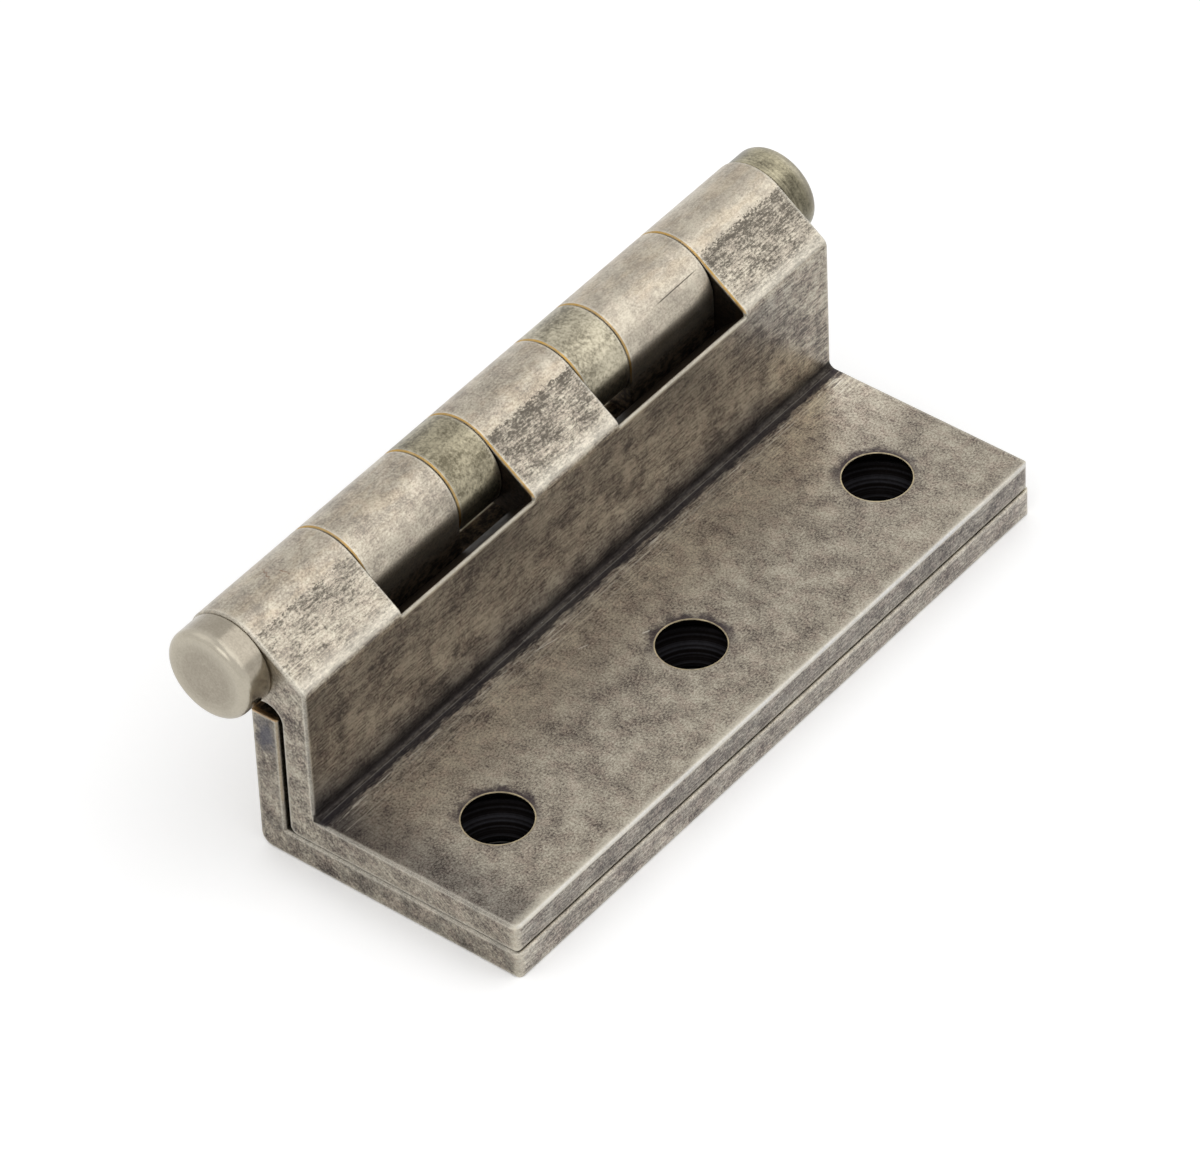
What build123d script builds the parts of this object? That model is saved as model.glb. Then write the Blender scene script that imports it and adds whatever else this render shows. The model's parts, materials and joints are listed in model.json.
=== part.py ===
from build123d import *
from math import acos, atan2, cos, radians, sin, sqrt, tan
import os

# A cranked storm proof casement hinge, closed, lying on its lower leaf.
# X runs across the leaves, away from the barrel. Y runs along the pin from its near end to its
# far end, and Z is up.
# The origin is the middle screw hole of the lower leaf, on the face that meets the timber.
# All sizes are in millimetres.

# Section of the two leaves
leaf_thickness = 2.5
flange_width = 19.4             # upper flange, from the front of its web to the free edge
lower_flange_lip = 0.15         # how far the lower flange stands out past the upper one
flange_gap = 0.15               # between the two flanges when the hinge is closed
web_gap = 0.5                   # between the two webs when the hinge is closed
pin_height = 13.0               # pin axis above the top of the upper flange
land_edge_height = 12.8         # corner between web and land, above the same face

# Barrel
barrel_diameter = 8.1
pin_diameter = 4.0
near_knuckle_length = 11.5
knuckle_length = 10.5
bush_length = 5.1
end_play = 0.05                 # between one knuckle or bush and the next
running_clearance = 0.05        # radial, where a knuckle or bush turns on the pin

# Button caps
cap_diameter = 7.85
cap_length = 2.9
cap_rim_radius = 0.7
spigot_length = 4.5
spigot_end_gap = 0.2            # between a spigot and the end of the pin

# Screw holes
hole_count = 3
hole_diameter = 5.6
countersink_depth = 2.1
hole_from_web = 10.9            # hole line from the front of the upper web
hole_from_end = 8.4             # outer holes from the ends of the leaves

# Cuts that let the leaves nest
window_floor_angle = 45.0       # slope of a window's floor, down towards the barrel
window_sill = 0.2               # flat left on top of the web, in front of a window's floor
window_drop = 0.45              # from the corner of web and land down to that flat
end_notch_clearance = 0.3       # under the barrel at both ends of the lower leaf
mid_notch_clearance = 0.6       # under the barrel between the lower leaf's knuckles

# Rounds and broken edges
upper_outer_round = 0.8
lower_outer_round = 1.1
inner_corner_round = 0.5
land_edge_round = 0.8
recess_round = 1.4              # hollow between barrel and web of the upper leaf
neck_round = 0.5
edge_break = 0.2                # along a flange's free edge
flange_corner_round = 0.7       # in plan, at a flange's two outer corners
end_chamfer = 0.14              # round the ends of leaves, knuckles, bushes and caps

# Heights
lower_top = leaf_thickness
upper_bottom = lower_top + flange_gap
upper_top = upper_bottom + leaf_thickness
pin_z = upper_top + pin_height
land_edge_z = upper_top + land_edge_height

# Places across the leaves
barrel_radius = barrel_diameter / 2
web_front_x = -hole_from_web
web_back_x = web_front_x - leaf_thickness
lower_web_inner_x = web_back_x - web_gap
lower_web_outer_x = lower_web_inner_x - leaf_thickness
pin_x = lower_web_inner_x - barrel_radius
upper_free_x = web_front_x + flange_width
lower_free_x = upper_free_x + lower_flange_lip

# Places along the pin
window_length = knuckle_length + bush_length + 3 * end_play
leaf_length = near_knuckle_length + 2 * knuckle_length + 2 * window_length
near_y = -leaf_length / 2
far_y = leaf_length / 2
near_window_y = near_y + near_knuckle_length
middle_knuckle_y = near_window_y + window_length
far_window_y = middle_knuckle_y + knuckle_length
far_knuckle_y = far_window_y + window_length
near_lower_knuckle_y = near_window_y + end_play
near_bush_y = near_lower_knuckle_y + knuckle_length + end_play
far_bush_y = far_window_y + end_play
far_lower_knuckle_y = far_bush_y + bush_length + end_play
hole_pitch = (leaf_length - 2 * hole_from_end) / (hole_count - 1)

# How far from the pin axis the cuts for knuckles are carried, to clear the whole barrel
cut_reach = barrel_diameter


def along_pin(section, start_y, length):
    """Carry a section, drawn across the leaves, along the pin from start_y."""
    return Pos(0, start_y, 0) * extrude(Plane.XZ * section, amount=-length)


def corner_at(section, x, z):
    """The corner of a section that lies at x, z."""
    return section.vertices().sort_by_distance((x, z, 0))[0]


def on_barrel(angle):
    """A place on the barrel's outside, at an angle from the X axis."""
    return pin_x + barrel_radius * cos(angle), pin_z + barrel_radius * sin(angle)


def land_end_angle():
    """Where round the barrel the land, a flat from the web's top corner, runs smoothly into it."""
    across = web_front_x - pin_x
    up = land_edge_z - pin_z
    return atan2(up, across) + acos(barrel_radius / sqrt(across**2 + up**2))


def bore(radius):
    """A drill along the whole barrel."""
    return Pos(pin_x, 0, pin_z) * Rot(90, 0, 0) * Cylinder(radius, 2 * leaf_length)


def screw_holes(outer_z, inward):
    """Drills for one leaf's holes, countersunk on the face that the other leaf covers."""
    radius = hole_diameter / 2
    straight = leaf_thickness - countersink_depth
    mouth_radius = radius + countersink_depth
    profile = Polyline(
        (0, 0), (radius, 0), (radius, straight), (mouth_radius, leaf_thickness), (0, leaf_thickness), close=True
    )
    drill = revolve(Plane.XZ * make_face(profile), Axis.Z)
    if inward < 0:
        drill = Rot(180, 0, 0) * drill
    first_y = near_y + hole_from_end
    return [Pos(0, first_y + hole_pitch * i, outer_z) * drill for i in range(hole_count)]


def corner_trims(free_x):
    """What a flange loses at its two outer corners, which are rounded in plan."""
    radius = flange_corner_round
    corner = Pos(free_x, near_y) * Rectangle(2 * radius, 2 * radius)
    corner -= Pos(free_x - radius, near_y + radius) * Circle(radius)
    trim = extrude(corner, upper_top)
    return [trim, mirror(trim, Plane.XZ)]


def edges_at(leaf, y):
    """The edges of a leaf that lie in the plane at y."""
    return leaf.edges().filter_by_position(Axis.Y, y - 0.001, y + 0.001)


def broken_ends(section, start_y, length):
    """A length of a leaf's section, with the edges broken all round both its ends."""
    piece = along_pin(section, start_y, length)
    for y in (start_y, start_y + length):
        piece = chamfer(edges_at(piece, y), end_chamfer)
    return piece


def upper_section():
    """Flange, web, land and barrel of the upper leaf in one outline.

    The land is a flat that leaves the web's top corner and runs smoothly into the barrel.
    A round hollow joins the barrel to the back of the web.
    """
    land_end = on_barrel(land_end_angle())
    recess_x = web_back_x - recess_round
    recess_drop = sqrt((barrel_radius + recess_round) ** 2 - (recess_x - pin_x) ** 2)
    recess_z = pin_z - recess_drop
    barrel_side = atan2(-recess_drop, recess_x - pin_x)
    recess_start = on_barrel(barrel_side)
    middle_angle = (barrel_side + radians(180)) / 2
    recess_middle = (recess_x + recess_round * cos(middle_angle), recess_z + recess_round * sin(middle_angle))

    outline = [
        Polyline(
            (web_back_x, recess_z),
            (web_back_x, upper_bottom),
            (upper_free_x, upper_bottom),
            (upper_free_x, upper_top),
            (web_front_x, upper_top),
            (web_front_x, land_edge_z),
            land_end,
        ),
        ThreePointArc(land_end, (pin_x - barrel_radius, pin_z), recess_start),
        ThreePointArc(recess_start, recess_middle, (web_back_x, recess_z)),
    ]
    section = make_face(outline)
    section = fillet(corner_at(section, web_back_x, upper_bottom), upper_outer_round)
    section = fillet(corner_at(section, web_front_x, upper_top), inner_corner_round)
    section = fillet(corner_at(section, web_front_x, land_edge_z), land_edge_round)
    section = fillet(corner_at(section, upper_free_x, upper_bottom), edge_break)
    return fillet(corner_at(section, upper_free_x, upper_top), edge_break)


def lower_section():
    """Flange, web and barrel of the lower leaf, whose web runs straight up into the barrel's side."""
    neck_z = pin_z - sqrt(barrel_radius**2 - (pin_x - lower_web_outer_x) ** 2)
    neck = (lower_web_outer_x, neck_z)
    side = (lower_web_inner_x, pin_z)
    outline = [
        Polyline(
            side,
            (lower_web_inner_x, lower_top),
            (lower_free_x, lower_top),
            (lower_free_x, 0),
            (lower_web_outer_x, 0),
            neck,
        ),
        ThreePointArc(neck, (pin_x, pin_z + barrel_radius), side),
    ]
    section = make_face(outline)
    section = fillet(corner_at(section, lower_web_outer_x, 0), lower_outer_round)
    section = fillet(corner_at(section, *neck), neck_round)
    section = fillet(corner_at(section, lower_free_x, lower_top), edge_break)
    return fillet(corner_at(section, lower_free_x, 0), edge_break)


def window_outline():
    """What the upper leaf's section loses where a lower knuckle and its bush pass through it.

    It takes the land right up to the web's front, and leaves a narrow flat on top of the web.
    Behind that flat the window's floor slopes down to the back of the web.
    """
    sill_z = land_edge_z - window_drop
    floor_x = web_front_x - window_sill
    floor_z = sill_z - (floor_x - web_back_x) * tan(radians(window_floor_angle))
    bottom_z = pin_z - barrel_radius - recess_round
    outline = Polyline(
        (floor_x, sill_z),
        (web_front_x + cut_reach, sill_z),
        (web_front_x + cut_reach, pin_z + cut_reach),
        (pin_x - cut_reach, pin_z + cut_reach),
        (pin_x - cut_reach, bottom_z),
        (web_back_x, bottom_z),
        (web_back_x, floor_z),
        close=True,
    )
    return make_face(outline)


def notch_outline(clearance):
    """What the lower leaf's section loses where an upper knuckle turns, down to a clearance under it."""
    floor_z = pin_z - barrel_radius - clearance
    return Pos(pin_x, floor_z + cut_reach) * Rectangle(2 * cut_reach, 2 * cut_reach)


def make_upper_leaf():
    """The leaf with three knuckles, whose flange lies on top.

    Flange and web run the whole length, and the full section is added at each knuckle.
    """
    section = upper_section()
    strip_length = leaf_length - 2 * end_chamfer
    leaf = along_pin(section - window_outline(), near_y + end_chamfer, strip_length)
    leaf += broken_ends(section, near_y, near_knuckle_length)
    for start_y in (middle_knuckle_y, far_knuckle_y):
        leaf += broken_ends(section, start_y, knuckle_length)
    leaf -= bore(pin_diameter / 2)
    leaf -= corner_trims(upper_free_x)
    return leaf - screw_holes(upper_top, -1)


def make_lower_leaf():
    """The leaf with two knuckles, whose flange lies underneath.

    It loses its barrel over the whole length first, and the full section is put back at each knuckle.
    """
    section = lower_section()
    leaf = broken_ends(section, near_y, leaf_length)
    leaf -= along_pin(notch_outline(end_notch_clearance), near_y, leaf_length)
    for start_y in (near_lower_knuckle_y, far_lower_knuckle_y):
        leaf += broken_ends(section, start_y, knuckle_length)
    near_knuckle_end_y = near_lower_knuckle_y + knuckle_length
    leaf -= along_pin(
        notch_outline(mid_notch_clearance), near_knuckle_end_y, far_lower_knuckle_y - near_knuckle_end_y
    )
    leaf -= bore(pin_diameter / 2 + running_clearance)
    leaf -= corner_trims(lower_free_x)
    return leaf - screw_holes(0, 1)


def make_bush(start_y):
    """A short ring, as thick as a knuckle, that runs on the pin."""
    ring = Cylinder(barrel_radius, bush_length) - Cylinder(pin_diameter / 2 + running_clearance, bush_length)
    outer_rims = ring.edges().filter_by(GeomType.CIRCLE).sort_by(SortBy.RADIUS)[-2:]
    ring = chamfer(outer_rims, end_chamfer)
    return Pos(pin_x, start_y + bush_length / 2, pin_z) * Rot(90, 0, 0) * ring


def make_pin():
    """The plain pin, held by the upper knuckles between the spigots of the two caps."""
    length = leaf_length - 2 * (spigot_length + spigot_end_gap)
    return Pos(pin_x, 0, pin_z) * Rot(90, 0, 0) * Cylinder(pin_diameter / 2, length)


def make_cap(end_y, outward):
    """A turned button that closes one end of the barrel, with a spigot pressed into its bore."""
    head_radius = cap_diameter / 2
    profile = make_face(
        Polyline(
            (0, -spigot_length),
            (pin_diameter / 2, -spigot_length),
            (pin_diameter / 2, 0),
            (head_radius, 0),
            (head_radius, cap_length),
            (0, cap_length),
            close=True,
        )
    )
    profile = fillet(corner_at(profile, head_radius, cap_length), cap_rim_radius)
    profile = chamfer(corner_at(profile, head_radius, 0), end_chamfer)
    cap = revolve(profile, Axis.Y)
    if outward < 0:
        cap = Rot(180, 0, 0) * cap
    return Pos(pin_x, end_y, pin_z) * cap


def main():
    parts = {
        "lower_leaf": make_lower_leaf(),
        "upper_leaf": make_upper_leaf(),
        "hinge_pin": make_pin(),
        "near_bush": make_bush(near_bush_y),
        "far_bush": make_bush(far_bush_y),
        "near_cap": make_cap(near_y, -1),
        "far_cap": make_cap(far_y, 1),
    }
    os.makedirs("parts", exist_ok=True)
    for name, part in parts.items():
        export_step(part, f"parts/{name}.step")


main()
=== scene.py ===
# %% [markdown]
# # A cranked window hinge in aged pewter
# The hinge holds an outward-opening window whose sash laps over its frame, so both of its
# leaves are bent in an L, or cranked, and nest in each other when the window is shut.
# Its shape is exact already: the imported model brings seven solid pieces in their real
# places and sizes. What is left for Blender is how they look, which is the metal, its age
# and its wear, and the floor, the light and the camera of a small product picture.

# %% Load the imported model
import json
import math

import bpy
from mathutils import Matrix, Vector


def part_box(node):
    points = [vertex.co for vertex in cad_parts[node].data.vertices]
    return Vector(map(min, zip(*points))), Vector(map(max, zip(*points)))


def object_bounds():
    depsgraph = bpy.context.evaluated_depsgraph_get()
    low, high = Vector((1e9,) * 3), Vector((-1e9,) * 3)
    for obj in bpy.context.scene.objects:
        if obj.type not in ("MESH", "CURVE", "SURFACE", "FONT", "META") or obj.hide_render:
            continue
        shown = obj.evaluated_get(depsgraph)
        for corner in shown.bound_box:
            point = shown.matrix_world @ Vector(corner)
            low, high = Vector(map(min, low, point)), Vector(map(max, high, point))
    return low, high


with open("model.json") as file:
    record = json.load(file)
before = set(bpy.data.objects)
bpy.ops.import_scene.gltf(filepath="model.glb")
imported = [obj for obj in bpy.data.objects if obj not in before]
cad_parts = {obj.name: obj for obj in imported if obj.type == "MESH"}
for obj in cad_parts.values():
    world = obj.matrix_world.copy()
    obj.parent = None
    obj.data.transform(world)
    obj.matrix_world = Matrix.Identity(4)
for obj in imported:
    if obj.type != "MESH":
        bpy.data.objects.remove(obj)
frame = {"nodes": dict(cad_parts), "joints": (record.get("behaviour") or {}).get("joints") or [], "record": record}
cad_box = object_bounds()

print("pieces:", ", ".join(sorted(frame["nodes"])))

# %% [markdown]
# ## Measures
# Wear and dirt sit in particular places on a hinge: along edges, round screw holes, where
# one knuckle meets the next. A material can find them by coordinates, in millimetres from
# the model's origin. The places come from the boxes of the pieces, from the joint and from
# the record's screw holes, so that the finish follows the model if it is packed again.

# %% Read the hinge's measures from the frame
mm = 0.001


def box_mm(node):
    """The lowest and highest corner of a piece, in millimetres."""
    low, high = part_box(node)
    return low / mm, high / mm


mounts = {mount["name"]: mount for mount in frame["record"]["mounts"]}
swing = next(joint for joint in frame["joints"] if joint["name"] == "leaf_swing")
pin_x = swing["pos_m"][0] / mm
pin_z = swing["pos_m"][2] / mm

leaf_low, leaf_high = box_mm("upper_leaf")
near_bush_low, near_bush_high = box_mm("near_bush")
far_bush_low, far_bush_high = box_mm("far_bush")
barrel_radius = (near_bush_high.x - near_bush_low.x) / 2
knuckle_step = far_bush_low.y - near_bush_high.y

flange_top = mounts["upper_leaf_screws"]["pos_m"][2] / mm
hole_radius = mounts["upper_leaf_screws"]["dims"]["hole_r_mm"]
hole_pitch = mounts["upper_leaf_near_screws"]["dims"]["spacing_y_mm"]
flange_width = 19.4
web_height = 12.8
leaf_thickness = 2.5
web_front = leaf_high.x - flange_width
web_top = flange_top + web_height
lower_web_outer = pin_x + barrel_radius - leaf_thickness
print(f"barrel radius {barrel_radius:.2f} mm, pin at {pin_x:.2f}, {pin_z:.2f} mm")
print(f"web front at {web_front:.2f} mm, web top at {web_top:.2f} mm")

# %% List where each knuckle and bush starts and ends
end_play = 0.05
near_window = near_bush_low.y - knuckle_step + end_play
knuckle_starts = {
    "lower_leaf": [near_window, far_bush_high.y + end_play],
    "upper_leaf": [near_bush_high.y + end_play, far_bush_high.y + knuckle_step],
    "near_bush": [near_bush_low.y],
    "far_bush": [far_bush_low.y],
}
knuckle_ends = {
    "lower_leaf": [near_bush_low.y - end_play, far_bush_high.y + knuckle_step - end_play],
    "upper_leaf": [near_window - end_play, far_bush_low.y - end_play],
    "near_bush": [near_bush_high.y],
    "far_bush": [far_bush_high.y],
}
for piece, starts in knuckle_starts.items():
    print(piece, "starts at", [round(start, 2) for start in starts], "mm")
    print(piece, "ends at", [round(end, 2) for end in knuckle_ends[piece]], "mm")

# %% [markdown]
# ## Tools for a finish
# A finish is a network of nodes. Plating, patina and wear are layers over each other, so a
# few small helpers make each layer readable: one feeds a socket, some do sums, one turns a
# number into a soft mask, one lays a colour over another through a mask, one makes a colour
# lighter or darker, and one makes noise whose grain has a size in millimetres.

# %% Helpers for node networks


def feed(tree, value, socket):
    """Give a socket another node's output, or a plain number or colour."""
    if isinstance(value, bpy.types.NodeSocket):
        tree.links.new(value, socket)
    else:
        socket.default_value = value


def add_node(tree, kind, **settings):
    """Add a node and set its options."""
    made = tree.nodes.new(kind)
    for name, value in settings.items():
        setattr(made, name, value)
    return made


def reckon(tree, operation, first, second=0.0, third=0.0):
    """A sum on one, two or three numbers."""
    made = add_node(tree, "ShaderNodeMath", operation=operation)
    feed(tree, first, made.inputs[0])
    feed(tree, second, made.inputs[1])
    feed(tree, third, made.inputs[2])
    return made.outputs[0]


def times(tree, first, *others):
    """All the numbers multiplied with each other."""
    for other in others:
        first = reckon(tree, "MULTIPLY", first, other)
    return first


def scaled(tree, value, factor, start):
    """A number times a factor, plus a start."""
    return reckon(tree, "MULTIPLY_ADD", value, factor, start)


def mask(tree, value, none_at, full_at):
    """A soft mask, 0 where the value is none_at and 1 where it is full_at."""
    made = add_node(tree, "ShaderNodeMapRange", interpolation_type="SMOOTHSTEP")
    feed(tree, value, made.inputs["Value"])
    low, high = sorted((none_at, full_at))
    made.inputs["From Min"].default_value = low
    made.inputs["From Max"].default_value = high
    made.inputs["To Min"].default_value = 0.0 if none_at < full_at else 1.0
    made.inputs["To Max"].default_value = 1.0 if none_at < full_at else 0.0
    return made.outputs["Result"]


def lay_over(tree, amount, under, over):
    """One colour laid over another, as far as the amount says."""
    made = add_node(tree, "ShaderNodeMix", data_type="RGBA")
    feed(tree, amount, made.inputs[0])
    feed(tree, under, made.inputs[6])
    feed(tree, over, made.inputs[7])
    return made.outputs[2]


def tint(tree, amount, colour, red, green, blue):
    """A colour with its three channels multiplied by three factors, as far as the amount says."""
    made = add_node(tree, "ShaderNodeMix", data_type="RGBA", blend_type="MULTIPLY")
    feed(tree, amount, made.inputs[0])
    feed(tree, colour, made.inputs[6])
    feed(tree, (red, green, blue, 1.0), made.inputs[7])
    return made.outputs[2]


def cloud(tree, place, size, stretch=(1, 1, 1), detail=3.0, rough=0.6, seed=0.0):
    """Noise around 0.5 with blotches of about size millimetres, longer along an axis by its stretch."""
    mapping = add_node(tree, "ShaderNodeMapping")
    feed(tree, place, mapping.inputs["Vector"])
    mapping.inputs["Location"].default_value = (seed, seed * 1.7, seed * 0.6)
    mapping.inputs["Scale"].default_value = tuple(1 / (size * along) for along in stretch)
    noise = add_node(tree, "ShaderNodeTexNoise")
    feed(tree, mapping.outputs["Vector"], noise.inputs["Vector"])
    noise.inputs["Scale"].default_value = 1.0
    noise.inputs["Detail"].default_value = detail
    noise.inputs["Roughness"].default_value = rough
    return noise.outputs["Fac"]


# %% Helpers for places on the hinge, in millimetres


facing = (0.45, 0.8)


class Spot:
    """The shaded point's own place in the hinge, in millimetres, and the way its face looks."""

    def __init__(self, tree):
        coords = add_node(tree, "ShaderNodeTexCoord")
        in_mm = add_node(tree, "ShaderNodeVectorMath", operation="SCALE")
        feed(tree, coords.outputs["Object"], in_mm.inputs[0])
        in_mm.inputs["Scale"].default_value = 1 / mm
        parts = add_node(tree, "ShaderNodeSeparateXYZ")
        feed(tree, in_mm.outputs[0], parts.inputs[0])
        self.whole = in_mm.outputs[0]
        self.x = parts.outputs["X"]
        self.y = parts.outputs["Y"]
        self.z = parts.outputs["Z"]
        self.from_middle = reckon(tree, "ABSOLUTE", self.y)
        ways = add_node(tree, "ShaderNodeSeparateXYZ")
        feed(tree, coords.outputs["Normal"], ways.inputs[0])
        self.faces_x = mask(tree, ways.outputs["X"], *facing)
        self.faces_up = mask(tree, ways.outputs["Z"], *facing)
        self.faces_end = mask(tree, reckon(tree, "ABSOLUTE", ways.outputs["Y"]), *facing)


def distance_from(tree, value, centre):
    """How far a coordinate is from a place, either way."""
    return reckon(tree, "ABSOLUTE", reckon(tree, "SUBTRACT", value, centre))


def at_flange_top(tree, spot, full_within=0.25):
    """1 near the height of the upper flange's top, 0 elsewhere."""
    return mask(tree, distance_from(tree, spot.z, flange_top), 0.3, full_within)


def length_of(tree, x, y):
    """The length of the flat vector x, y."""
    return reckon(tree, "SQRT", scaled(tree, x, x, times(tree, y, y)))


def closeness(tree, size):
    """How near an outer edge of its own piece the point is, 0 to 1, within size millimetres."""
    made = add_node(tree, "ShaderNodeAmbientOcclusion", inside=True, only_local=True, samples=2)
    made.inputs["Distance"].default_value = size * mm
    return reckon(tree, "SUBTRACT", 1.0, made.outputs["AO"])


# %% Helpers for a new finish


def new_finish(name):
    """A new metal: its material, its node tree and its shader."""
    material = bpy.data.materials.new(name)
    material.use_nodes = True
    shader = material.node_tree.nodes["Principled BSDF"]
    shader.inputs["Metallic"].default_value = 1.0
    return material, material.node_tree, shader


def dress(piece, finish):
    """Give a piece its finish in place of the plain one it was packed with."""
    slots = frame["nodes"][piece].data.materials
    slots.clear()
    slots.append(finish)
    print(piece, "is finished with", len(finish.node_tree.nodes), "nodes")


def relief(tree, shader, height, depth, edge_radius):
    """Round the edges off in the shading, and bump the surface, depth and radius in millimetres."""
    rounded = add_node(tree, "ShaderNodeBevel", samples=2)
    rounded.inputs["Radius"].default_value = edge_radius * mm
    bump = add_node(tree, "ShaderNodeBump")
    bump.inputs["Strength"].default_value = 1.0
    bump.inputs["Distance"].default_value = depth * mm
    feed(tree, height, bump.inputs["Height"])
    feed(tree, rounded.outputs["Normal"], bump.inputs["Normal"])
    feed(tree, bump.outputs["Normal"], shader.inputs["Normal"])


def srgb(red, green, blue):
    """A colour given as it looks on a screen, 0 to 255, as the shader wants it."""

    def linear(value):
        value = value / 255
        return value / 12.92 if value <= 0.04045 else ((value + 0.055) / 1.055) ** 2.4

    return linear(red), linear(green), linear(blue), 1.0


# %% [markdown]
# ## Finding the land and the barrel
# Three knuckles end in a land, a sloping flat that runs from the web's top corner smoothly
# into the barrel. Its finish differs from the barrel's, so the material has to know where the
# one ends. The line where a flat touches a cylinder follows from the two radii and a tangent,
# and one more sum tells how deep a point lies under the outer skin, inside a window.

# %% Where the land meets the barrel, and how deep a point lies
corner_reach = math.hypot(web_front - pin_x, web_top - pin_z)
land_angle = math.atan2(web_top - pin_z, web_front - pin_x) + math.acos(barrel_radius / corner_reach)
land_length = math.sqrt(corner_reach**2 - barrel_radius**2)
land_slope = 90 - math.degrees(land_angle)
print(f"the land is {land_length:.2f} mm long and leans {land_slope:.1f} degrees")


def from_pin(tree, spot):
    """Across and up from the pin's axis."""
    return reckon(tree, "SUBTRACT", spot.x, pin_x), reckon(tree, "SUBTRACT", spot.z, pin_z)


def down_land(tree, spot):
    """How far the point lies down the land from the barrel, below 0 on the barrel itself."""
    across, up = from_pin(tree, spot)
    sunk = times(tree, up, -math.cos(land_angle))
    return scaled(tree, across, math.sin(land_angle), sunk)


def depth_under_skin(tree, spot):
    """How deep the point lies under the outside of the barrel and its land."""
    across, up = from_pin(tree, spot)
    in_barrel = reckon(tree, "SUBTRACT", barrel_radius, length_of(tree, across, up))
    lift = times(tree, up, -math.sin(land_angle))
    in_land = scaled(tree, across, -math.cos(land_angle), lift)
    in_land = reckon(tree, "ADD", in_land, barrel_radius)
    made = add_node(tree, "ShaderNodeMix", data_type="FLOAT")
    feed(tree, reckon(tree, "GREATER_THAN", down_land(tree, spot), 0.0), made.inputs[0])
    feed(tree, in_barrel, made.inputs[2])
    feed(tree, in_land, made.inputs[3])
    return made.outputs[0]


def on_barrel(tree, spot):
    """1 on the barrel and its lands, 0 on the web and the flange."""
    across, up = from_pin(tree, spot)
    near_pin = mask(tree, length_of(tree, across, up), barrel_radius + 0.3, barrel_radius + 0.1)
    return reckon(tree, "MAXIMUM", near_pin, mask(tree, spot.z, web_top - 0.3, web_top + 0.1))


# %% [markdown]
# ## Aged pewter, layer by layer
# The leaves are brass with a pewter-coloured plating that was darkened, then tumbled so that
# the dark stays in a fine mottle and rubs off on edges. One noise can't give that. The base
# is soft patches a few millimetres wide with a grain of a fifth of a millimetre over them,
# and on the web, lands and barrel streaks along the pin, the way those faces were brushed.

# %% The mottled plating


def swing_of(tree, noise, amount):
    """How far a noise pushes the tone up or down."""
    return scaled(tree, noise, 2 * amount, -amount)


def pewter_tone(tree, spot):
    """How light the patina is, around 0.5, before any wear."""
    patches = cloud(tree, spot.whole, 2.4, detail=4.0, rough=0.74)
    grain = cloud(tree, spot.whole, 0.16, stretch=(1, 1.3, 1), detail=2.0, rough=0.8, seed=3.1)
    streaks = cloud(tree, spot.whole, 0.17, stretch=(1, 8, 1), detail=2.0, rough=0.8, seed=7.7)
    brushed = mask(tree, spot.x, web_front + 6.0, web_front + 1.0)
    behind = mask(tree, spot.x, web_front - 1.5, web_front - 3.0)
    brushed = times(tree, brushed, scaled(tree, behind, -0.5, 1.0))
    tone = reckon(tree, "ADD", swing_of(tree, patches, 0.82), 0.5)
    tone = scaled(tree, swing_of(tree, patches, 0.35), brushed, tone)
    less_grain = scaled(tree, brushed, -0.1, 1.0)
    tone = scaled(tree, swing_of(tree, grain, 1.2), less_grain, tone)
    return scaled(tree, swing_of(tree, streaks, 1.15), brushed, tone)


def pewter_colour(tree, spot, tone):
    """The plating's colour where the patina is dark, middling or light, rosier in places."""
    shades = add_node(tree, "ShaderNodeValToRGB")
    feed(tree, tone, shades.inputs["Fac"])
    shades.color_ramp.elements[0].color = srgb(88, 80, 75)
    shades.color_ramp.elements[1].color = srgb(190, 183, 166)
    middle = shades.color_ramp.elements.new(0.5)
    middle.color = srgb(152, 143, 129)
    hue = cloud(tree, spot.whole, 1.2, detail=2.0, seed=13.0)
    rosy = mask(tree, hue, 0.46, 0.64)
    return tint(tree, rosy, shades.outputs["Color"], 1.015, 0.98, 0.985)


# %% [markdown]
# ## Light barrel, dark web
# A hand or a tumbling drum reaches the barrel and the lands first, so they are painted paler,
# partly as that rubbed plating and partly as painted light that grows further along the pin,
# and the barrel is tanned in long patches. The web's front gets painted shade, deepest at its
# foot, and a painted reflection lightens its far end. Each tint is a plain layer over the
# mottle, thin enough to let it through, and limited by the point's own place.

# %% Tints by place


def polish_and_light_barrel(tree, colour, spot):
    """The barrel and its lands made lighter, partly as rubbed plating and partly as painted light that grows along
    the pin, and long patches of tan on the barrel.
    """
    place = on_barrel(tree, spot)
    # Painted light: the lightening grows further along the pin, on top of the rubbed plating.
    share = scaled(tree, mask(tree, spot.y, 0.0, 12.0), 0.14, 0.3)
    colour = lay_over(tree, times(tree, place, share), colour, srgb(204, 195, 178))
    patches = cloud(tree, spot.whole, 1.5, stretch=(1, 3, 1), detail=3.0, rough=0.7, seed=14.0)
    place = times(tree, place, mask(tree, down_land(tree, spot), 0.6, -0.6))
    tanned = times(tree, mask(tree, patches, 0.42, 0.62), place)
    return tint(tree, tanned, colour, 0.985, 0.95, 0.91)


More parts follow.
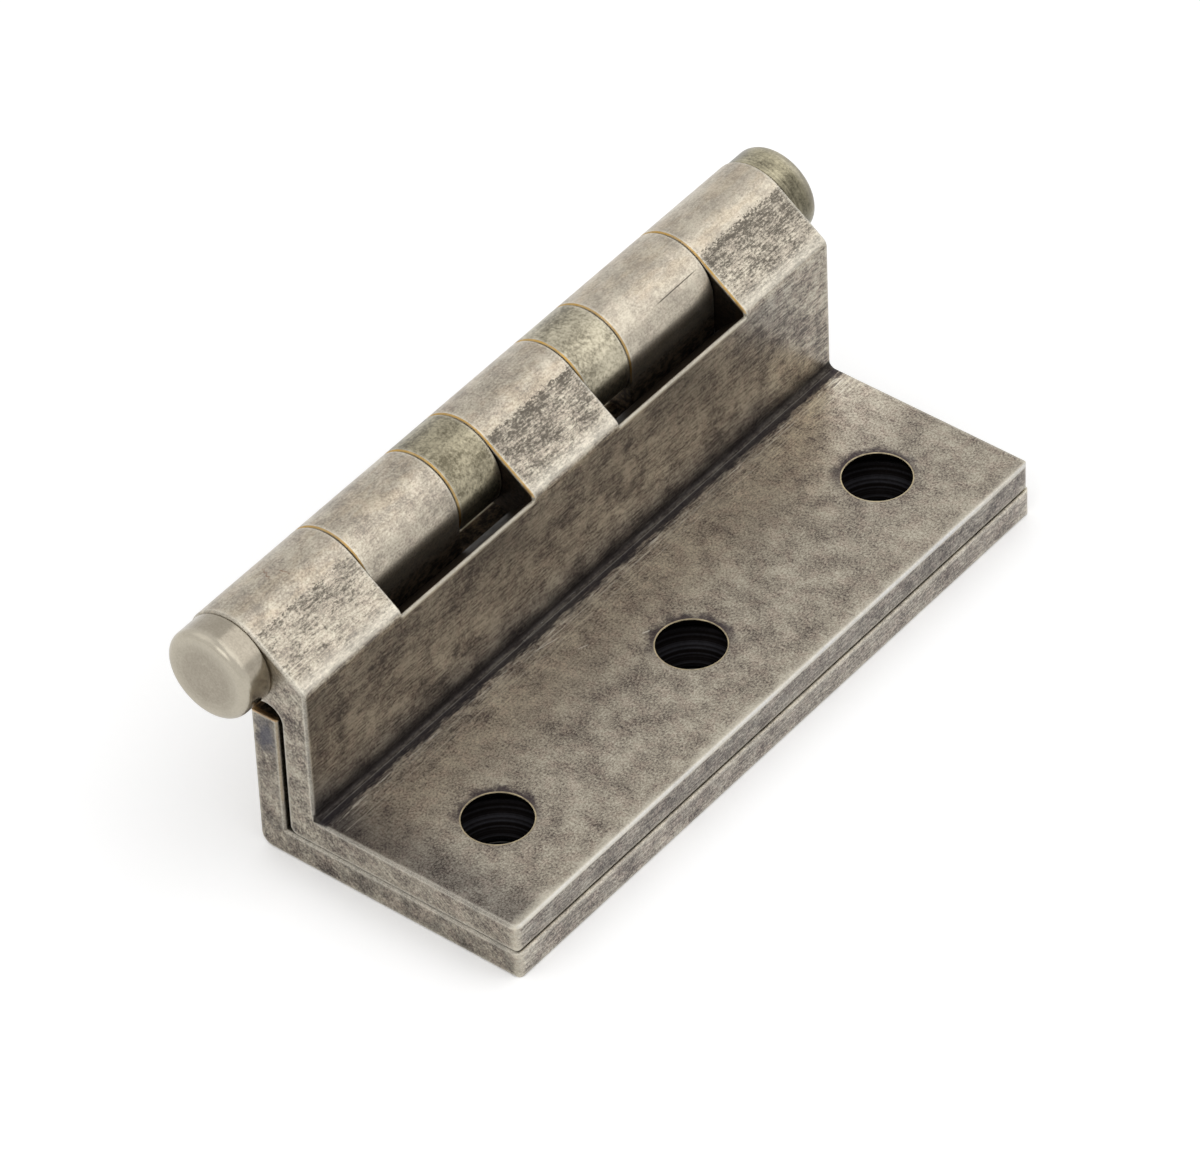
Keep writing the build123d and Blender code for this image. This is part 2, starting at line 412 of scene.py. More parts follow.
def shade_web(tree, colour, spot):
    """Painted shade on the front of the web, deepest at its foot, and a painted reflection that lightens its far
    end.
    """
    on_web = mask(tree, distance_from(tree, spot.x, web_front), 0.5, 0.4)
    below_top = mask(tree, spot.z, web_top + 0.1, web_top - 1.2)
    # Painted shade, deeper towards the web's foot.
    low = mask(tree, spot.z, flange_top + 5.0, flange_top + 0.8)
    strength = scaled(tree, low, 0.35, 0.65)
    onwards = mask(tree, spot.y, -6.0, 8.0)
    strength = times(tree, strength, scaled(tree, onwards, -0.08, 1.0))
    # Painted reflection: the shade fades out towards the web's far end.
    far_end = mask(tree, spot.y, leaf_high.y - 10.0, leaf_high.y - 2.0)
    strength = times(tree, strength, scaled(tree, far_end, -0.9, 1.0))
    amount = times(tree, on_web, spot.faces_x, below_top, strength)
    return tint(tree, amount, colour, 0.4, 0.415, 0.48)


def shade_flange(tree, colour, spot):
    """A paler strip of flange beside the web, and the flange darker towards the near end, most in the corner by
    the web.
    """
    on_flange = times(tree, at_flange_top(tree, spot, full_within=0.2), spot.faces_up)
    strip = mask(tree, spot.x, web_front + 11.0, web_front + 3.0)
    colour = tint(tree, times(tree, strip, on_flange), colour, 1.42, 1.41, 1.42)
    near_end = mask(tree, spot.y, leaf_low.y + 6.0, leaf_low.y + 1.0)
    in_corner = mask(tree, spot.x, web_front + 7.0, web_front + 1.5)
    strength = scaled(tree, in_corner, 0.4, 0.6)
    near_end = times(tree, near_end, on_flange, strength)
    return tint(tree, near_end, colour, 0.34, 0.35, 0.4)


# %% [markdown]
# ## File marks on the cut faces
# The leaves were sawn to length and their free edges dressed with a file. Those faces kept
# dark patches, with fine slanting marks at the ends and marks along the pin at the free
# edges. A mapping that is turned before it is stretched gives slanting streaks.

# %% Darker, filed ends and edges


def file_marks(tree, colour, spot, patched, free_light):
    """Slanting marks and dark patches on the ends, long marks on the free edges."""
    slanted = add_node(tree, "ShaderNodeMapping")
    feed(tree, spot.whole, slanted.inputs["Vector"])
    slanted.inputs["Rotation"].default_value = (0, math.radians(-38), 0)
    turned_place = slanted.outputs["Vector"]
    marks = cloud(tree, turned_place, 0.22, stretch=(7, 1, 1), detail=2.0, rough=0.8, seed=71.0)
    across = times(tree, mask(tree, marks, 0.6, 0.42), spot.faces_end)
    colour = tint(tree, times(tree, across, 0.5), colour, 0.5, 0.5, 0.52)
    patches = cloud(tree, spot.whole, 1.6, detail=3.0, rough=0.7, seed=72.0)
    dark = times(tree, mask(tree, patches, 0.42, 0.62), spot.faces_end, patched)
    colour = tint(tree, dark, colour, 0.5, 0.5, 0.52)
    filed = cloud(tree, spot.whole, 0.15, stretch=(1, 9, 1), detail=2.0, rough=0.8, seed=73.0)
    at_free = mask(tree, spot.x, leaf_high.x - 0.3, leaf_high.x - 0.1)
    at_free = times(tree, at_free, spot.faces_x)
    along = times(tree, mask(tree, filed, 0.6, 0.42), at_free)
    colour = tint(tree, at_free, colour, free_light, free_light * 1.02, free_light * 1.08)
    return tint(tree, along, colour, 0.58, 0.58, 0.6)


# %% [markdown]
# ## Wear and painted highlights along the edges
# Handling rubs the patina off every edge. The ambient occlusion node, turned inside out and
# kept to its own piece, tells how close an outer edge is, without any painting. The flange's
# free edge, which slides over timber, is worn in a wider soft band, found by its place. The
# flange's rounded corners and the rim between its top and free edge get painted highlights.

# %% Rubbed edges and painted edge highlights


def rub_edges(tree, colour, strength=1.0, clear_of=0.0):
    """Bright metal along the outer edges, in a faint band and a fine bright line."""
    near_edge = reckon(tree, "SUBTRACT", closeness(tree, 0.4), clear_of)
    faint = times(tree, mask(tree, near_edge, 0.04, 0.38), 0.5 * strength)
    colour = lay_over(tree, faint, colour, srgb(200, 193, 176))
    fine = times(tree, mask(tree, near_edge, 0.28, 0.44), 0.8 * strength)
    return lay_over(tree, fine, colour, srgb(222, 217, 203))


def highlight_corners(tree, colour, spot, free_x):
    """A painted highlight in a narrow band down the flange's two rounded corners, a reflection of the bright
    ground in front.
    """
    in_x = reckon(tree, "SUBTRACT", free_x, spot.x)
    in_y = reckon(tree, "SUBTRACT", leaf_high.y, spot.from_middle)
    patchiness = cloud(tree, spot.whole, 0.35, detail=1.0, rough=0.7, seed=26.0)
    cut_off = scaled(tree, patchiness, 0.5, reckon(tree, "ADD", in_x, in_y))
    # Painted highlight on the rounded corner, broken up by noise.
    corner = mask(tree, cut_off, 0.98, 0.58)
    return lay_over(tree, times(tree, corner, 0.5), colour, srgb(206, 199, 182))


def rub_free_edge(tree, colour, spot):
    """A soft pale band along the flange's free edge, patchy on its inner side."""
    patchy = cloud(tree, spot.whole, 2.5, detail=2.0, seed=21.0)
    grain = cloud(tree, spot.whole, 0.3, detail=1.0, seed=22.0)
    wobble = scaled(tree, patchy, 1.6, times(tree, grain, 0.5))
    inwards = reckon(tree, "ADD", reckon(tree, "SUBTRACT", leaf_high.x, spot.x), wobble)
    band = times(tree, mask(tree, inwards, 2.1, 1.0), at_flange_top(tree, spot))
    near = mask(tree, spot.y, leaf_high.y, leaf_low.y)
    band = times(tree, band, scaled(tree, near, 0.3, 0.38))
    return lay_over(tree, band, colour, srgb(212, 205, 188))


def highlight_rim(tree, colour, spot, free_x, top_z):
    """A painted highlight: a fine bluish-white line on the very edge between a leaf's top and its free edge."""
    out = mask(tree, spot.x, free_x - 0.24, free_x - 0.12)
    high = mask(tree, spot.z, top_z - 0.26, top_z - 0.16)
    patchiness = cloud(tree, spot.whole, 1.5, stretch=(1, 3, 1), detail=1.0, seed=24.0)
    # Painted highlight along the edge, broken up by noise.
    amount = times(tree, out, high, scaled(tree, patchiness, 0.8, -0.1))
    return lay_over(tree, amount, colour, srgb(200, 203, 210))


# %% [markdown]
# ## The web's dark foot
# Darkening fluid pools in the inner corner and no wheel reaches it, so the corner keeps a
# blue-black band. Where a tool once rubbed along it, pale broken lines run with the pin: a
# hairline inside the band, two brighter lines near its edge and one on the flange beside it.

# %% A blue-black band with bright tool lines


tool_marks = (
    {"away": 0.42, "half_width": 0.045, "strength": 0.08, "gaps": 0.2},
    {"away": 1.4, "half_width": 0.18, "strength": 0.75, "gaps": 0.5},
    {"away": 1.8, "half_width": 0.1, "strength": 0.5, "gaps": 0.44},
    {"away": 2.6, "half_width": 0.06, "strength": 0.35, "gaps": 0.42},
)


def tool_lines(tree, colour, spot):
    """Pale broken lines along the pin, each some way from the web."""
    waver = cloud(tree, spot.whole, 1.2, stretch=(1, 14, 1), detail=1.0, seed=41.0)
    from_web = scaled(tree, waver, -0.16, reckon(tree, "ADD", spot.x, 0.08 - web_front))
    broken = cloud(tree, spot.whole, 0.6, stretch=(0.3, 3, 0.3), detail=3.0, rough=0.75, seed=42.0)
    short = mask(tree, spot.from_middle, leaf_high.y - 0.3, leaf_high.y - 0.9)
    on_flange = times(tree, at_flange_top(tree, spot), short)
    for mark in tool_marks:
        off = distance_from(tree, from_web, mark["away"])
        line = mask(tree, off, mark["half_width"], mark["half_width"] * 0.4)
        unbroken = mask(tree, broken, mark["gaps"], mark["gaps"] + 0.12)
        amount = times(tree, line, unbroken, on_flange, mark["strength"])
        colour = lay_over(tree, amount, colour, srgb(250, 244, 230))
    return colour


def darken_foot(tree, colour, spot):
    """The dark band on both sides of the inner corner, then the lines in and beside it."""
    ragged = cloud(tree, spot.whole, 0.5, stretch=(1, 5, 1), detail=2.0, rough=0.75, seed=31.0)
    torn = cloud(tree, spot.whole, 0.22, stretch=(1, 6, 1), detail=2.0, rough=0.8, seed=32.0)
    inwards = scaled(tree, torn, 1.3, reckon(tree, "SUBTRACT", spot.x, web_front))
    on_flange = scaled(tree, ragged, 1.0, inwards)
    up_web = scaled(tree, ragged, 0.8, reckon(tree, "SUBTRACT", spot.z, flange_top))
    low = times(tree, mask(tree, on_flange, 2.55, 1.95), mask(tree, up_web, 1.25, 0.75))
    front = mask(tree, spot.x, web_front - 0.1, web_front - 0.02)
    above = mask(tree, spot.z, flange_top - 0.1, flange_top - 0.02)
    band = times(tree, low, front, above)
    outer = mask(tree, spot.x, web_front + 0.32, web_front + 0.5)
    blue_black = lay_over(tree, outer, srgb(38, 34, 33), srgb(54, 50, 53))
    colour = lay_over(tree, times(tree, band, 0.92), colour, blue_black)
    fine = cloud(tree, spot.whole, 0.16, stretch=(1, 14, 1), detail=2.0, rough=0.8, seed=33.0)
    streaked = times(tree, mask(tree, fine, 0.56, 0.68), band)
    colour = lay_over(tree, times(tree, streaked, 0.2), colour, srgb(112, 106, 100))
    return tool_lines(tree, colour, spot), band


# %% [markdown]
# ## Screw holes
# The drilled holes and their countersinks are painted almost black, a painted shade for
# these deep holes, with the drill's turning marks as fine grey rings, mostly low down. The
# plating is thin round each rim, where brass shows as a pale ring inside a dark smudge. The
# holes repeat at one pitch, so wrapping y by that pitch serves all three.

# %% Painted shade in the holes, with a pale brass rim


def past_hole(tree, spot):
    """How far along the pin the point is from the nearest hole's axis."""
    return reckon(tree, "WRAP", spot.y, hole_pitch / 2, -hole_pitch / 2)


def from_hole(tree, spot):
    """How far the point is from the nearest hole's axis."""
    return length_of(tree, spot.x, past_hole(tree, spot))


def smudge_holes(tree, colour, spot):
    """A dark smudge round each hole, stronger on the side of the web."""
    patchy = cloud(tree, spot.whole, 1.1, detail=3.0, rough=0.7, seed=51.0)
    reach = scaled(tree, patchy, 2.4, reckon(tree, "SUBTRACT", from_hole(tree, spot), hole_radius))
    side = mask(tree, reckon(tree, "SUBTRACT", past_hole(tree, spot), spot.x), -3.0, 3.0)
    amount = times(tree, mask(tree, reach, 2.2, 1.3), scaled(tree, side, 0.84, 0.06))
    return lay_over(tree, amount, colour, srgb(62, 54, 58))


def round_holes(tree, spot):
    """1 in a narrow collar round each hole, where the edge isn't rubbed as others are."""
    return mask(tree, from_hole(tree, spot), hole_radius + 0.8, hole_radius + 0.6)


def blacken_holes(tree, colour, spot):
    """Near-black walls of painted shade with turning marks, and a thin brass ring round each hole."""
    radius = from_hole(tree, spot)
    ring = mask(tree, radius, hole_radius + 0.13, hole_radius + 0.06)
    patchiness = cloud(tree, spot.whole, 0.6, detail=1.0, seed=53.0)
    ring = times(tree, ring, scaled(tree, patchiness, 1.2, 0.15))
    colour = lay_over(tree, ring, colour, srgb(212, 196, 160))
    below_top = mask(tree, spot.z, flange_top - 0.02, flange_top - 0.08)
    above_floor = mask(tree, spot.z, 0.0, 0.06)
    in_sink = mask(tree, radius, hole_radius + 2.4, hole_radius + 2.2)
    # Painted shade: the walls of the hole and its countersink turn near black.
    inside = times(tree, in_sink, above_floor, below_top)
    lathe = add_node(tree, "ShaderNodeCombineXYZ")
    feed(tree, radius, lathe.inputs["X"])
    feed(tree, spot.z, lathe.inputs["Z"])
    rings = cloud(tree, lathe.outputs[0], 0.5, detail=2.0, rough=0.8, seed=55.0)
    turning = mask(tree, rings, 0.45, 0.65)
    low = mask(tree, spot.z, 2.9, 1.6)
    marks = times(tree, turning, scaled(tree, low, 0.92, 0.08))
    black = lay_over(tree, marks, srgb(18, 15, 14), srgb(48, 47, 50))
    return lay_over(tree, inside, colour, black), inside


# %% [markdown]
# ## Windows and joints
# In the windows, where the other leaf's knuckles turn, and under the barrel, the metal is
# painted near black, a painted shade for these recesses. Where a knuckle or bush starts, its
# broken edge is rubbed down to brass and shows as a gold line; the end before it gets a thin
# dark line, painted shade for the gap between the parts.

# %% Painted shade in the windows, gold lines and dark gap lines


def blacken_windows(tree, colour, spot, from_depth, black_lights):
    """Painted shade, near black and mottled, on the walls and floor of the windows, with a brown edge at their
    sill.
    """
    deep = depth_under_skin(tree, spot)
    low_y = leaf_low.y + 0.3
    inner = mask(tree, spot.from_middle, -low_y, -low_y - 0.15)
    high = mask(tree, spot.z, pin_z - barrel_radius - 1.9, pin_z - barrel_radius - 0.9)
    behind = mask(tree, spot.x, web_front - 0.18, web_front - 0.3)
    before = mask(tree, spot.x, lower_web_outer + 0.1, lower_web_outer + 0.3)
    place = times(tree, inner, high, behind, before)
    sill = mask(tree, spot.x, web_front - 1.1, web_front - 0.9)
    sill = times(tree, sill, place, mask(tree, deep, 0.03, 0.1))
    colour = lay_over(tree, times(tree, sill, 0.7), colour, srgb(140, 110, 66))
    # Painted shade: near black on the window walls and floor, deeper under the skin.
    black = times(tree, mask(tree, deep, from_depth, from_depth * 3.5), place)
    shade_mottle = cloud(tree, spot.whole, 0.4, stretch=(1, 2, 1), detail=2.0, rough=0.8, seed=63.0)
    mottle = lay_over(tree, mask(tree, shade_mottle, 0.35, 0.7), srgb(38, 33, 29), black_lights)
    return lay_over(tree, times(tree, black, 0.96), colour, mottle), black


def line_across(tree, colour, spot, skin, centre, half_width, strength, line_colour):
    """A line round the barrel at one place along the pin, only on the outer skin."""
    patchiness = cloud(tree, spot.whole, 1.4, detail=3.0, seed=61.0)
    off = distance_from(tree, spot.y, centre)
    line = mask(tree, off, half_width, half_width * 0.5)
    high = mask(tree, spot.z, flange_top + 4.0, flange_top + 5.0)
    patchy = scaled(tree, patchiness, 1.3 * strength, 0.25 * strength)
    return lay_over(tree, times(tree, line, skin, high, patchy), colour, line_colour)


def mark_joints(tree, colour, spot, piece):
    """Gold on the near broken edges, and on the far ones a dark line of painted shade for the gap between parts.
    """
    deep = depth_under_skin(tree, spot)
    if piece != "upper_leaf":
        across, up = from_pin(tree, spot)
        deep = distance_from(tree, length_of(tree, across, up), barrel_radius)
    skin = mask(tree, deep, 0.24, 0.16)
    for start in knuckle_starts[piece]:
        colour = line_across(tree, colour, spot, skin, start + 0.07, 0.08, 0.9, srgb(192, 154, 84))
    # Painted shade: a dark line at each end, where the gap to the next part lies.
    for end in knuckle_ends[piece]:
        colour = line_across(tree, colour, spot, skin, end - 0.05, 0.13, 0.95, srgb(48, 42, 36))
    return colour


# %% [markdown]
# ## The lower leaf's own marks
# At its ends the lower web stops short under the barrel. That cut edge is rubbed down to
# brass, and below it a bluish stain has spread over the end of the web.

# %% A brass edge and a bluish stain


def mark_web_end(tree, colour, spot):
    """Brass on the cut top of the lower web at its ends, and a stain beneath."""
    notch_z = pin_z - barrel_radius - 0.3
    near_ends = mask(tree, spot.from_middle, leaf_high.y - 1.4, leaf_high.y - 0.7)
    at_top = mask(tree, distance_from(tree, spot.z, notch_z - 0.05), 0.16, 0.06)
    inner_x = lower_web_outer + leaf_thickness
    on_web = mask(tree, spot.x, inner_x + 0.4, inner_x + 0.1)
    brass = times(tree, near_ends, at_top, on_web, 0.7)
    colour = lay_over(tree, brass, colour, srgb(178, 134, 72))
    off_x = reckon(tree, "SUBTRACT", spot.x, lower_web_outer + 1.3)
    off_z = times(tree, reckon(tree, "SUBTRACT", spot.z, notch_z - 2.0), 0.6)
    ragged = cloud(tree, spot.whole, 1.0, detail=3.0, rough=0.7, seed=81.0)
    reach = scaled(tree, ragged, 1.8, length_of(tree, off_x, off_z))
    stain = times(tree, mask(tree, reach, 2.4, 1.2), spot.faces_end, 0.75)
    colour = lay_over(tree, stain, colour, srgb(78, 79, 89))
    inner = mask(tree, distance_from(tree, spot.x, inner_x - 0.06), 0.14, 0.05)
    above = mask(tree, spot.z, flange_top, flange_top + 0.6)
    ends = mask(tree, spot.from_middle, leaf_high.y - 0.3, leaf_high.y - 0.1)
    rubbed = times(tree, inner, above, ends, 0.35)
    return lay_over(tree, rubbed, colour, srgb(160, 136, 98))


# %% [markdown]
# ## Speckled lands
# The flat lands held the darkening in streaky dots, in rows along the pin, thickest at the
# line where the land meets the barrel. Towards the web's corner they thin out, so the
# threshold for the dots rises down the land, and a soft bright band there is a painted
# highlight along the rounded corner.

# %% Dark dots and a painted highlight along the land's foot


def speckle_lands(tree, colour, spot):
    """Streaky dark dots on the upper part of each land, and a painted highlight as a pale band along its foot."""
    dots = cloud(tree, spot.whole, 0.17, stretch=(1, 2, 1), detail=2.0, rough=0.9, seed=11.0)
    rows = cloud(tree, spot.whole, 1.1, stretch=(1, 2, 1), detail=3.0, rough=0.7, seed=5.0)
    lines = cloud(tree, spot.whole, 0.16, stretch=(1, 12, 1), detail=2.0, rough=0.8, seed=12.0)
    down = down_land(tree, spot)
    skin = mask(tree, depth_under_skin(tree, spot), 0.12, 0.05)
    start = reckon(tree, "ADD", down, swing_of(tree, dots, 0.9))
    above_web = mask(tree, spot.z, web_top - 0.3, web_top - 0.1)
    on_land = times(tree, mask(tree, start, -0.05, 0.15), skin, above_web)
    level = scaled(tree, dots, 1.6, times(tree, rows, 1.2))
    level = reckon(tree, "ADD", lines, level)
    level = scaled(tree, mask(tree, down, land_length - 0.6, 0.6), 0.14, level)
    level = scaled(tree, mask(tree, down, 1.3, 0.2), 0.07, level)
    level = scaled(tree, mask(tree, spot.y, -18.0, -5.0), 0.16, level)
    amount = times(tree, mask(tree, level, 1.82, 2.44), on_land)
    colour = lay_over(tree, times(tree, amount, 0.9), colour, srgb(76, 71, 64))
    # Painted highlight: a pale band along the land's foot, by the rounded corner to the web.
    foot = times(tree, mask(tree, down, land_length - 1.6, land_length - 0.3), on_land)
    return lay_over(tree, times(tree, foot, 0.35), colour, srgb(220, 214, 200))


# %% [markdown]
# ## Scratches
# A used or handled hinge has a few scratches of its own. A scratch is a thin line between
# two places on a face, so its mask is the distance to that line, fading at its ends.

# %% A scratch between two places


def scratch(tree, colour, along, across, start, end, width, line_colour):
    """A fine line from start to end, in the two coordinates given."""
    run = Vector(end) - Vector(start)
    reach = run.length
    run.normalize()
    first = reckon(tree, "SUBTRACT", along, start[0])
    second = reckon(tree, "SUBTRACT", across, start[1])
    gone = scaled(tree, first, run.x, times(tree, second, run.y))
    off = scaled(tree, first, -run.y, times(tree, second, run.x))
    begun = mask(tree, gone, 0.0, reach * 0.2)
    not_over = mask(tree, gone, reach, reach * 0.8)
    thin = mask(tree, reckon(tree, "ABSOLUTE", off), width, width * 0.3)
    return lay_over(tree, times(tree, begun, not_over, thin, 0.8), colour, line_colour)


flange_scratches = (
    ((-9.2, -7.8), (-8.6, -5.2)),
    ((-6.7, -5.6), (-6.3, -4.6)),
    ((-3.8, -1.3), (-3.5, -0.6)),
)
knuckle_scratches = (
    ((-19.2, -26.2), (-17.7, -27.1)),
    ((-17.8, -25.8), (-17.1, -25.6)),
)


def scratch_upper_leaf(tree, colour, spot):
    """Pale scratches on the flange beside the web, and two small brown ones on the near knuckle."""
    pale = srgb(250, 246, 236)
    on_flange = reckon(tree, "ADD", spot.z, -flange_top)
    height = times(tree, reckon(tree, "ABSOLUTE", on_flange), 50.0)
    x = reckon(tree, "ADD", spot.x, height)
    for start, end in flange_scratches:
        colour = scratch(tree, colour, x, spot.y, start, end, 0.06, pale)
    depth = times(tree, depth_under_skin(tree, spot), 50.0)
    round_barrel = reckon(tree, "ADD", spot.x, depth)
    brown = srgb(120, 84, 62)
    for start, end in knuckle_scratches:
        colour = scratch(tree, colour, round_barrel, spot.y, start, end, 0.06, brown)
    return colour


def scratch_lower_leaf(tree, colour, spot):
    """One long dark scratch on the far knuckle of the lower leaf."""
    x = scaled(tree, mask(tree, spot.z, pin_z + 2, pin_z), 50.0, spot.x)
    return scratch(tree, colour, x, spot.y, (-14.93, 15.2), (-14.99, 21.0), 0.05, srgb(44, 38, 32))


# %% [markdown]
# ## The leaves
# Both leaves get their layers in the order in which the real ones came about: plating, polish,
# wear, dirt, and last the scratches, with painted light and shade laid in among them. Roughness
# follows the patina, since rubbed metal is smoother than dark metal, and a fine bump breaks the
# reflections up.

# %% Make the finish of a leaf


def leaf_finish(piece, scratch_it):
    """Aged pewter for one leaf."""
    material, tree, shader = new_finish(f"aged_pewter_{piece}")
    spot = Spot(tree)
    tone = pewter_tone(tree, spot)
    colour = pewter_colour(tree, spot, tone)
    colour = polish_and_light_barrel(tree, colour, spot)
    colour = shade_web(tree, colour, spot)
    colour = shade_flange(tree, colour, spot)
    patched, free_light = (0.1, 0.98) if piece == "upper_leaf" else (0.65, 1.28)
    colour = file_marks(tree, colour, spot, patched, free_light)
    colour = smudge_holes(tree, colour, spot)
    if piece == "upper_leaf":
        colour = speckle_lands(tree, colour, spot)
    colour = rub_free_edge(tree, colour, spot)
    colour = rub_edges(tree, colour, clear_of=round_holes(tree, spot))
    colour = highlight_corners(tree, colour, spot, box_mm(piece)[1].x)
    foot = 0.0
    if piece == "upper_leaf":
        colour = highlight_rim(tree, colour, spot, leaf_high.x, flange_top)
        colour, foot = darken_foot(tree, colour, spot)
    else:
        colour = mark_web_end(tree, colour, spot)
    colour = mark_joints(tree, colour, spot, piece)
    if piece == "upper_leaf":
        colour, window_shade = blacken_windows(tree, colour, spot, 0.12, srgb(66, 54, 44))
    else:
        colour, window_shade = blacken_windows(tree, colour, spot, 1.1, srgb(118, 102, 84))
    colour = scratch_it(tree, colour, spot)
    colour, hole = blacken_holes(tree, colour, spot)
    feed(tree, colour, shader.inputs["Base Color"])
    roughness = mask(tree, tone, 1.1, -0.1)
    roughness = scaled(tree, roughness, 0.12, 0.28)
    dirt_and_shade = reckon(tree, "MAXIMUM", hole, reckon(tree, "MAXIMUM", window_shade, foot))
    feed(tree, scaled(tree, dirt_and_shade, 0.2, roughness), shader.inputs["Roughness"])
    relief(tree, shader, cloud(tree, spot.whole, 0.2, detail=2.0, seed=9.0), 0.006, edge_radius=0.3)
    return material


for leaf, scratch_it in (("lower_leaf", scratch_lower_leaf), ("upper_leaf", scratch_upper_leaf)):
    dress(leaf, leaf_finish(leaf, scratch_it))

# %% [markdown]
# ## Bushes
# Between the knuckles run two short bushes of bearing bronze. They were darkened with the
# rest, but bronze takes a greener, duller grey, with a finer grain.

# %% Dark bronze for the bushes


def bush_finish(piece, dark, light):
    """Grey-green bearing bronze with a fine grain."""
    material, tree, shader = new_finish(f"dark_bronze_{piece}")
    spot = Spot(tree)
    grain = cloud(tree, spot.whole, 0.3, detail=2.0, rough=0.8, seed=2.0)
    patches = cloud(tree, spot.whole, 1.8, stretch=(1, 2, 1), detail=4.0, seed=4.0)
    tone = reckon(tree, "ADD", swing_of(tree, patches, 0.9), 0.5)
    tone = reckon(tree, "ADD", swing_of(tree, grain, 0.9), tone)
    tone = mask(tree, tone, -0.1, 1.1)
    colour = lay_over(tree, tone, dark, light)
    colour = rub_edges(tree, colour, 0.6)
    colour = mark_joints(tree, colour, spot, piece)
    feed(tree, colour, shader.inputs["Base Color"])
    feed(tree, scaled(tree, tone, -0.06, 0.36), shader.inputs["Roughness"])
    relief(tree, shader, grain, 0.006, edge_radius=0.2)
    return material


# Painted light: the far bush gets lighter colours than the near one, for how each is lit.
bush_colours_as_lit = {
    "near_bush": (srgb(96, 90, 74), srgb(176, 168, 144)),
    "far_bush": (srgb(110, 104, 88), srgb(196, 188, 166)),
}
for bush, (dark, light) in bush_colours_as_lit.items():
    dress(bush, bush_finish(bush, dark, light))

# %% [markdown]
# ## Caps and pin
# A turned button closes each end of the barrel. The near one is plated in a pale satin
# nickel, the far one kept an olive-brown patina. Both keep faint marks from the lathe, which
# run round the pin, so their noise is read by the distance from the pin and along it.

# %% Finishes for the two caps and the pin


cap_end = cad_box[1].y / mm


def turned_finish(
    name, dark, light, roughness, mottled=1.0, ring_share=0.3, top_light=1.0, rim_light=0.5
):
    """Turned metal, mottled or not, with marks that run round the pin, a top made lighter as painted light, and a
    painted highlight round the rim.
    """
    material, tree, shader = new_finish(name)
    spot = Spot(tree)
    across, up = from_pin(tree, spot)
    radius = length_of(tree, across, up)
    lathe = add_node(tree, "ShaderNodeCombineXYZ")
    feed(tree, radius, lathe.inputs["X"])
    feed(tree, spot.y, lathe.inputs["Y"])
    rings = cloud(tree, lathe.outputs[0], 0.3, detail=3.0, rough=0.7)
    blotches = cloud(tree, spot.whole, 1.5, detail=4.0, seed=6.0)
    grain = cloud(tree, spot.whole, 0.2, detail=2.0, rough=0.8, seed=8.0)
    tone = reckon(tree, "ADD", swing_of(tree, blotches, 0.8 * mottled), 0.5)
    tone = reckon(tree, "ADD", swing_of(tree, rings, ring_share), tone)
    tone = reckon(tree, "ADD", swing_of(tree, grain, 0.5), tone)
    tone = mask(tree, tone, -0.1, 1.1)
    colour = lay_over(tree, tone, dark, light)
    # Painted light: the top of the cap is made lighter, most of all on the far cap.
    on_top = mask(tree, up, barrel_radius - 1.15, barrel_radius - 0.15)
    colour = tint(tree, on_top, colour, top_light, top_light, top_light)
    # Painted highlight: a pale ring round the rim of the cap's end face.
    outwards = mask(tree, radius, barrel_radius - 2.25, barrel_radius - 0.45)
    near_face = mask(tree, spot.from_middle, cap_end - 1.2, cap_end - 0.5)
    at_rim = times(tree, outwards, near_face, rim_light)
    colour = lay_over(tree, at_rim, colour, srgb(206, 199, 182))
    feed(tree, colour, shader.inputs["Base Color"])
    feed(tree, scaled(tree, tone, -0.05, roughness), shader.inputs["Roughness"])
    relief(tree, shader, rings, 0.003, edge_radius=0.15)
    return material


turned = {
    "near_cap": turned_finish(
        "satin_nickel",
        srgb(138, 130, 116),
        srgb(172, 164, 149),
        roughness=0.24,
        mottled=0.35,
        rim_light=0.4,
    ),
    "far_cap": turned_finish(
        "olive_bronze",
        srgb(64, 60, 49),
        srgb(136, 130, 110),
        roughness=0.34,
        ring_share=0.7,
        top_light=2.2,
        rim_light=0.3,
    ),
    "hinge_pin": turned_finish(
        "plain_steel",
        srgb(140, 140, 140),
        srgb(190, 190, 192),
        roughness=0.3,
        ring_share=0.6,
    ),
}
for piece, finish in turned.items():
    dress(piece, finish)

# %% [markdown]
# ## Floor and surroundings
# The picture has a white ground with a faint shadow. Lighting a floor until it clips would
# also burn out the metal. Instead the floor and the world show white only to rays that come
# from the camera or off a mirror-like surface, and light the hinge at a plain level.
# Under the screw holes the floor is painted dark, a painted shadow for the deep shade
# that lies there.

# %% A white floor that keeps the shadow


def seen_directly(tree):
    """1 for rays from the camera, off glossy surfaces or through clear ones."""
    path = add_node(tree, "ShaderNodeLightPath")
    seen = reckon(tree, "MAXIMUM", path.outputs["Is Camera Ray"], path.outputs["Is Glossy Ray"])
    return reckon(tree, "MAXIMUM", seen, path.outputs["Is Transmission Ray"])


floor_size = 3.0
bpy.ops.mesh.primitive_plane_add(size=floor_size, location=(0, 0, cad_box[0].z - 0.02 * mm))
floor = bpy.context.object
floor.name = "floor"
paper = bpy.data.materials.new("white_paper")
paper.use_nodes = True
tree = paper.node_tree
tree.nodes.clear()
plain = add_node(tree, "ShaderNodeBsdfDiffuse")
plain.inputs["Color"].default_value = (0.8, 0.8, 0.8, 1)
spot = Spot(tree)
